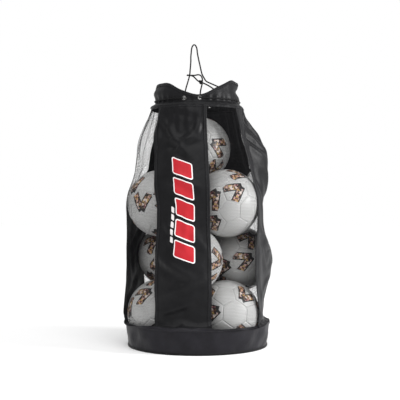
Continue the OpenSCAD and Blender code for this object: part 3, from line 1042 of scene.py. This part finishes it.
def rim_height(angle):
    """Height of the collar's edge: low at the front and back, with a broad soft ear on each side."""
    side = np.sin(np.radians(angle - EAR_TURN))
    share = np.clip(np.abs(side) / 0.88, 0, 1)
    ear = share * share * (3 - 2 * share)
    uneven = 2.0 * MM * np.sin(np.radians(6 * angle)) + 1.5 * MM * np.sin(np.radians(11 * angle + 50))
    return SEAM + 0.030 + ear * (0.047 + 0.004 * side) + uneven * (0.3 + 0.7 * ear)


def collar_layer(name, depth):
    def place(across, up):
        angle = 360 * across - 180
        z = SEAM + up * (rim_height(angle) - 0.6 * MM - SEAM)
        return around(angle, collar_radius(angle, z) - depth, z)
    layer = cloth_piece(name, 240, 22, place, 2 * math.pi * CORD_LINE_R, 0.08)
    return sewn_ring(layer, 0.9, offset=-1.0)


def eyelet_places():
    return [Matrix.Translation(at(angle, CORD_LINE_R, EYELET_Z))
            @ Matrix.Rotation(math.radians(angle), 4, "Z")
            @ Matrix.Rotation(math.radians(90), 4, "X") for angle in EYELETS]


def copies_at(pattern, places, name):
    """Copies of one modelled piece, each put in its place, joined as one piece."""
    made = [copy_of(pattern, name, place) for place in places]
    bpy.data.objects.remove(pattern)
    return join(made, name)


def punch_eyelet_holes(layer):
    """Cuts the round holes that the eyelets' barrels stand in."""
    deselect()
    bpy.ops.mesh.primitive_cylinder_add(vertices=32, radius=EYELET_R + 0.9 * MM, depth=12 * MM)
    cutter = copies_at(bpy.context.object, eyelet_places(), "eyelet_cutter")
    apply_modifier(layer, "BOOLEAN", operation="DIFFERENCE", object=cutter, solver="EXACT")
    bpy.data.objects.remove(cutter)


def rolled_ring(name, middle_r, half_width, half_height, height, steps=48):
    """A ring with an oval section, spun round the Z axis."""
    deselect()
    bpy.ops.mesh.primitive_circle_add(vertices=16, radius=1, location=(middle_r, 0, height),
                                      rotation=(math.radians(90), 0, 0))
    ring = bpy.context.object
    ring.name = name
    ring.scale = (half_width, half_height, 1)
    bpy.ops.object.transform_apply(location=True, rotation=True, scale=True)
    edit(ring, (bpy.ops.mesh.spin, dict(steps=steps, angle=2 * math.pi, center=(0, 0, 0), axis=(0, 0, 1))),
         (bpy.ops.mesh.select_all, dict(action="SELECT")),
         (bpy.ops.mesh.remove_doubles, dict(threshold=0.001 * MM)),
         (bpy.ops.mesh.normals_make_consistent, dict(inside=False)))
    return ring


def make_eyelets(metal):
    """Two-part eyelets: a rolled flange outside with its barrel, and a washer inside."""
    flange = rolled_ring("eyelet_flange", 5.7 * MM, 1.5 * MM, 0.8 * MM, 0.7 * MM)
    barrel = rolled_ring("eyelet_barrel", 4.4 * MM, 0.35 * MM, 2.2 * MM, -1.3 * MM)
    eyelets = copies_at(join([flange, barrel], "eyelet"), eyelet_places(), "eyelet_rings")
    finish_piece(eyelets, metal, BODY, "eyelet_metal", ["eyelets"])
    washer = rolled_ring("eyelet_washer", 5.9 * MM, 1.4 * MM, 0.5 * MM, -2.7 * MM)
    washers = copies_at(washer, eyelet_places(), "eyelet_washer_rings")
    finish_piece(washers, metal, BODY, "eyelet_metal", ["eyelet_washers"])


def plated_steel():
    """Pressed steel, nickel plated and dulled by handling: grey, with fine scratches."""
    material, tree, shader = new_material("dulled_nickel_plated_steel", Metallic=1.0, Roughness=0.35)
    _, wear, colour = mottled(tree, 700.0, "#4c4c4e", "#7c7b78", Detail=4.0)
    rough = add_node(tree, "ShaderNodeMapRange", [(0, wear), (3, 0.22), (4, 0.42)])
    tree.links.new(colour, shader.inputs["Base Color"])
    tree.links.new(rough.outputs[0], shader.inputs["Roughness"])
    return material


def make_collar(cloth, binding):
    """Two layers of nylon, with a bound edge folded over both and a belt over the seam to the panels."""
    for name, depth, replaced in (("collar_cloth", 0.0, "collar"),
                                  ("collar_lining", 1.05 * MM, "collar_facing")):
        layer = collar_layer(name, depth)
        punch_eyelet_holes(layer)
        finish_piece(layer, cloth, BODY, "nylon", [replaced])

    def fold(across, up):
        angle = 360 * across - 180
        rim = rim_height(angle)
        turned = np.interp(up, (0, 0.44, 0.5, 0.56, 1), (-9, -0.6, 0.5, -0.6, -9)) * MM
        out = np.interp(up, (0, 0.44, 0.5, 0.56, 1), (0.9, 0.9, -0.9, -2.9, -2.9)) * MM
        z = rim + turned
        return around(angle, collar_radius(angle, np.minimum(z, rim)) + out, z)
    edge = cloth_piece("collar_bound_edge", 240, 18, fold, 2 * math.pi * CORD_LINE_R, 0.02)
    finish_piece(sewn_ring(edge, 0.8), binding, BODY, "binding_tape")

    def belt(across, up):
        turn = 360 * across - 180
        low = skin.place(turn, 1 - 0.011 * np.clip(1 - up / 0.6, 0, 1), 0.5 * MM)
        z = SEAM + 5 * MM * np.clip((up - 0.6) / 0.4, 0, 1)
        angle = swung(turn, SEAM)
        high = around(angle, collar_radius(angle, z) + 0.5 * MM, z)
        return np.where((up > 0.6)[:, None], high, low)
    seam = cloth_piece("collar_seam_belt", 240, 10, belt, 2 * math.pi * THROAT_R, 0.013)
    finish_piece(sewn_ring(seam, 0.7), cloth, BODY, "nylon")


def make_collar_cords(material):
    """The drawcord round the collar: outside between the panels, inside behind the rear and left eyelets."""
    inside_r, outside_r = 132.55 * MM, 141.25 * MM

    def through(angle, way, inward):
        steps = [(0, 131.9), (0, 134.5), (0.15, 137.5), (0.7, 139.8), (2.0, 141.1)]
        if not inward:
            steps = [(0, 141.0), (0, 139.0), (0.15, 136.5), (0.7, 134.0), (2.0, 132.7)]
        return [at(angle + way * turn, radius * MM, EYELET_Z) for turn, radius in steps]

    def run(low, high, radius):
        count = max(2, round((high - low - 8) / 4))
        return [at(low + 4 + (high - low - 8) * k / count, radius, EYELET_Z) for k in range(count + 1)]

    short = (through(16, 1, True) + run(16, 85, outside_r) + through(85, -1, True)[::-1])
    cord_piece("drawcord_front_right", short, material, ["cord_front_right"])
    long = through(106, 1, True)
    for low, high, radius in ((106, 175, outside_r), (175, 196, inside_r), (196, 265, outside_r),
                              (265, 286, inside_r), (286, 355, outside_r)):
        long += run(low, high, radius)
        if high == 355:
            long += through(high, -1, True)[::-1]
        else:
            goes_in = radius == outside_r
            r1, r2 = (139.9, 134.4) if goes_in else (134.4, 139.9)
            long += [at(high - 0.7, r1 * MM, EYELET_Z), at(high, 137 * MM, EYELET_Z),
                     at(high + 0.7, r2 * MM, EYELET_Z)]
    cord_piece("drawcord_round_the_back", long, material,
               ["cord_rear_right", "cord_rear_left", "cord_front_left", "cord_inside"])


def make_knot(material):
    """A tight overhand knot."""
    t = np.linspace(0, 2 * math.pi, 72, endpoint=False)
    line = np.stack([1.75 * (np.sin(t) + 2 * np.sin(2 * t)), -2.1 * np.sin(3 * t),
                     1.75 * (np.cos(t) - 2 * np.cos(2 * t))], axis=1) * MM
    centre = sum(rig.box("cord_knot"), Vector()) / 2
    cord_piece("drawcord_knot", line + np.array(centre), material, ["cord_knot"], closed=True)


# ---------------------------------------------------------------- base

BASE_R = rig.box("base_binding")[1].x - 2 * MM
BAND_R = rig.box("base_band")[1].x


def band_point(angle, z, lift=0.0):
    """The band's outer face, pushed in softly here and there where no ball holds it out."""
    radius = np.interp(z, (0, 0.010, 0.045, BAND_TOP), (BASE_R, BASE_R, BASE_R + 6.5 * MM, BAND_R))
    turn = np.radians(angle)
    dents = (np.sin(7 * turn + 1.2) * np.sin(3 * turn) + 0.6 * np.sin(13 * turn + 40 * z)
             + 0.4 * np.sin(23 * turn - 60 * z))
    depth = 2.4 * MM * dents * np.sin(np.clip(z / BAND_TOP, 0, 1) * math.pi)
    return clear_balls(around(angle, radius + depth + lift, z), 1.6 * MM)


def make_base(band_cloth, panel_cloth, binding):
    def wall(across, up):
        return band_point(360 * across - 180, 0.6 * MM + up * (BAND_TOP + 2 * MM))
    band = cloth_piece("base_band_cloth", 180, 18, wall, 2 * math.pi * BAND_R, BAND_TOP)
    finish_piece(sewn_ring(band, 1.0, smooth=True), band_cloth, BODY, "band_nylon", ["base_band"])

    def tape(across, up):
        turn = 360 * across - 180
        low = band_point(turn, BAND_TOP - 5 * MM * np.clip(1 - up / 0.5, 0, 1), 1.4 * MM)
        high = skin.place(turn, 0.010 * np.clip(up / 0.5 - 1, 0, 1), 1.3 * MM)
        return np.where((up > 0.5)[:, None], high, low)
    seam = cloth_piece("base_seam_tape", 240, 8, tape, 2 * math.pi * BAND_R, 0.012)
    finish_piece(sewn_ring(seam, 0.9, smooth=True), band_cloth, BODY, "band_nylon")

    ring = rolled_ring("base_binding_tape", BASE_R + 0.7 * MM, 1.6 * MM, 4.1 * MM, 4.15 * MM, 180)
    finish_piece(ring, binding, BODY, "binding_tape", ["base_binding"])
    frame["nodes"]["base_panel"].material_slots[0].material = panel_cloth


def coated_base_nylon():
    """PVC-backed nylon of the round base: dark grey, a plain weave drawn 1 mm apart, slightly scuffed."""
    material, tree, shader = new_material("pvc_backed_base_nylon", Roughness=0.6)
    place, _, colour = mottled(tree, 30.0, "#1a1a1c", "#2c2c30", Detail=5.0)
    tree.links.new(colour, shader.inputs["Base Color"])
    weave = plain_weave(tree, place, 50.0)
    bump = add_node(tree, "ShaderNodeBump", [("Height", weave), ("Strength", 0.4),
                                              ("Distance", 0.0002)])
    tree.links.new(bump.outputs[0], shader.inputs["Normal"])
    return material


def ribbed_tape():
    """Polyester grosgrain binding: black, cross ribs about 1 mm apart."""
    material, tree, shader = new_material("polyester_grosgrain", Roughness=0.6, Sheen_Weight=0.05)
    shader.inputs["Specular IOR Level"].default_value = 0.12
    place = add_node(tree, "ShaderNodeTexCoord")
    turn = add_node(tree, "ShaderNodeTexGradient", [("Vector", place.outputs["Object"])],
                    gradient_type="RADIAL")
    ribs = add_node(tree, "ShaderNodeMath", [(0, turn.outputs["Fac"]), (1, 2 * math.pi * 1000)],
                    operation="MULTIPLY")
    wave = add_node(tree, "ShaderNodeMath", [(0, ribs.outputs[0])], operation="SINE")
    colour = add_node(tree, "ShaderNodeMix", [(0, wave.outputs[0]), (6, linear("#0c0c0e")),
                                               (7, linear("#171719"))], data_type="RGBA")
    tree.links.new(colour.outputs[2], shader.inputs["Base Color"])
    bump = add_node(tree, "ShaderNodeBump", [("Height", wave.outputs[0]), ("Strength", 0.5),
                                              ("Distance", 0.0002)])
    tree.links.new(bump.outputs[0], shader.inputs["Normal"])
    return material


# ---------------------------------------------------------------- stitching and valves

STITCH = 4.0 * MM                     # from one stitch to the next


def sewing_thread():
    """Bonded polyester thread: black, slightly glossy, with a fine twist."""
    material, tree, shader = new_material("bonded_polyester_thread", Roughness=0.4)
    tree.links.new(mottled(tree, 1500.0, "#1a1a1c", "#38383c")[2], shader.inputs["Base Color"])
    return material


def stitch_line(name, line, normals, material):
    """A row of stitches along a line, each a copy of one long bead pressed into the cloth."""
    line, normals = np.asarray(line), np.asarray(normals)
    gone = np.concatenate([[0], np.cumsum(np.linalg.norm(np.diff(line, axis=0), axis=1))])
    count = int(gone[-1] / STITCH)
    spots = (np.arange(count) + 0.5) * STITCH
    read = lambda values, where: np.stack([np.interp(where, gone, values[:, k]) for k in range(3)], 1)
    middle, out = read(line, spots), read(normals, spots)
    along = read(line, spots + 0.5 * MM) - read(line, spots - 0.5 * MM)
    along /= np.linalg.norm(along, axis=1)[:, None]
    side = np.cross(out, along)
    side /= np.linalg.norm(side, axis=1)[:, None]
    out = np.cross(along, side)
    deselect()
    bpy.ops.mesh.primitive_ico_sphere_add(subdivisions=1, radius=1)
    bead = bpy.context.object
    shape = coordinates(bead) * (1.5 * MM, 0.33 * MM, 0.33 * MM)
    faces = np.array([list(poly.vertices) for poly in bead.data.polygons])
    bpy.data.objects.remove(bead)
    points = (middle[:, None] + shape[None, :, :1] * along[:, None] + shape[None, :, 1:2] * side[:, None]
              + shape[None, :, 2:] * out[:, None])
    every = faces[None] + len(shape) * np.arange(count)[:, None, None]
    row = new_piece(name, points.reshape(-1, 3), every.reshape(-1, 3))
    finish_piece(row, material, BODY, "nylon")


def make_stitching(material):
    rise = np.linspace(0.006, 0.985, 240)
    for name, middle in PANELS.items():
        for side, label in ((-1, "left"), (1, "right")):
            turn = np.full(240, middle + side * (PANEL_TURN / 2 - 1.6))
            low = skin.place(turn, rise, 1.5 * MM)
            out = skin.place(turn, rise, 2.5 * MM) - low
            stitch_line("%s_%s_stitches" % (name, label), low, out, material)
    turn = np.linspace(-180, 180, 361)
    flat = around(turn, 1.0 + 0 * turn, 0.0)
    below_rim = rim_height(turn) - 6 * MM
    for name, line in (
            ("collar_edge_stitches", around(turn, collar_radius(turn, below_rim) + 1.4 * MM, below_rim)),
            ("collar_seam_stitches", skin.place(turn, 0.9925 + 0 * turn, 1.8 * MM)),
            ("base_seam_stitches", band_point(turn, BAND_TOP - 2.5 * MM + 0 * turn, 2.0 * MM))):
        stitch_line(name, line, flat, material)


def valve_rubber():
    """Butyl rubber valve: dark, dull and faintly mottled."""
    material, tree, shader = new_material("butyl_rubber", Roughness=0.7)
    tree.links.new(mottled(tree, 900.0, "#1d1d1d", "#2e2e2d")[2], shader.inputs["Base Color"])
    return material


def make_valves(material):
    """A bevelled rubber disc in each cover. Its middle stands out as a pin, which a real valve lacks."""
    deselect()
    bpy.ops.mesh.primitive_cylinder_add(vertices=32, radius=4 * MM, depth=3.8 * MM,
                                        location=(0, 0, BALL_R - 1.8 * MM))
    valve = bpy.context.object
    bpy.ops.object.transform_apply(location=True)
    for part in (*valve.data.vertices, *valve.data.edges):
        part.select = False
    for poly in valve.data.polygons:
        poly.select = poly.normal.z > 0.5
    bpy.ops.object.mode_set(mode="EDIT")
    bpy.ops.mesh.select_mode(type="FACE")
    bpy.ops.mesh.bevel(offset=0.4 * MM, segments=3)
    bpy.ops.mesh.inset(thickness=2.9 * MM)
    bpy.ops.mesh.extrude_region_move(TRANSFORM_OT_translate={"value": (0, 0, -2.6 * MM)})
    bpy.ops.object.mode_set(mode="OBJECT")
    for index in range(len(BALLS)):
        number = "%02d" % (index + 1)
        piece = copy_of(valve, "football_valve_" + number, ball_place(index))
        finish_piece(piece, material, ball_body(index), "valve_rubber", ["valve_" + number])
    bpy.data.objects.remove(valve)


# The front and the sides are the same nylon. The front panel's copy is painted a little darker than the sides' copy,
# which is painted shade on the front.
front_nylon_painted_darker = woven_nylon("front_nylon_600d_painted_darker", "#0b0b0d", "#141416", mark=True)
side_nylon = woven_nylon("side_nylon_600d", "#0d0d0f", "#161618")
band_nylon = woven_nylon("band_nylon_600d", "#141317", "#1f1e23")
tape = ribbed_tape()
make_panels({name: front_nylon_painted_darker if name == "front_panel" else side_nylon for name in PANELS})
make_seam_tapes(side_nylon)
make_nets(knitted_net())
make_collar(side_nylon, tape)
make_eyelets(plated_steel())
make_collar_cords(cord_material)
make_knot(cord_material)
make_base(band_nylon, coated_base_nylon(), tape)
make_stitching(sewing_thread())
make_valves(valve_rubber())


json.dump({"cad": cad_bounds, "visual": [list(corner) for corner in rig.bounds()]},
          open("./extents.json", "w"))
